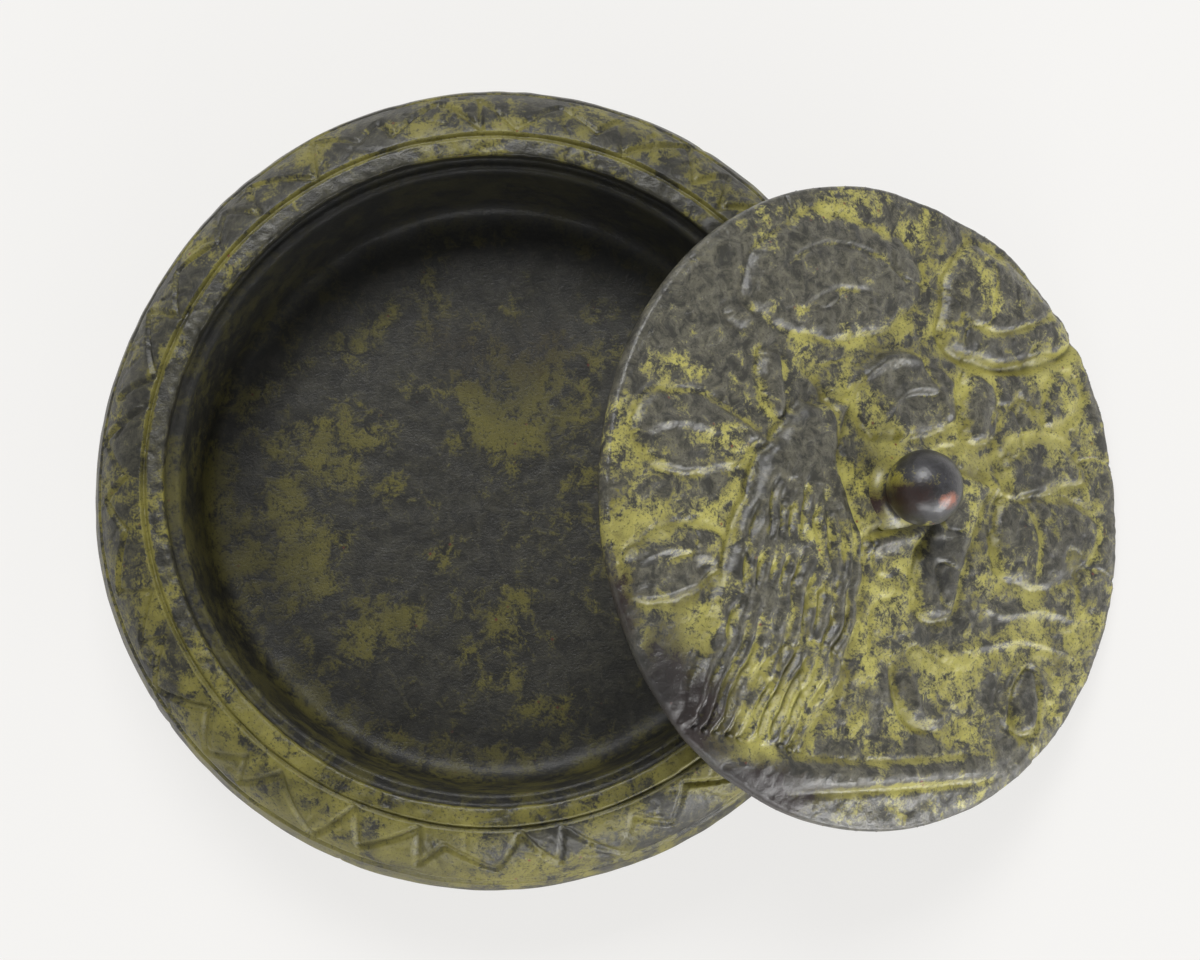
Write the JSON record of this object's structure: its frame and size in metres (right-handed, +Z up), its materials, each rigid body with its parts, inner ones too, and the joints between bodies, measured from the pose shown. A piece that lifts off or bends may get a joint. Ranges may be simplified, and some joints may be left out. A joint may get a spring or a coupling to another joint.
{
  "type": "pyxis",
  "caption": "Squat round lidded box with a zigzag band scored round its shoulder and a relief lid with a ball knob, lid off and leaning on the bowl.",
  "frame": {"origin": "centre of the bowl's flat base, on the surface that the box stands on", "axes": "+Z up; +X from the bowl towards the lid that leans on it"},
  "size_m": [0.1425, 0.11, 0.0468],
  "materials": {
    "bowl_clay": "satin",
    "lid_clay": "satin",
    "knob_clay": "gloss"
  },
  "bodies": {
    "bowl": {"bowl": "bowl_clay"},
    "lid": {"lid": "lid_clay", "knob": "knob_clay"}
  },
  "joints": [
    {"name": "lid_lift", "type": "slide", "parent": "bowl", "child": "lid", "axis": [0, 0, 1], "range_m": [0, 0.06]}
  ]
}
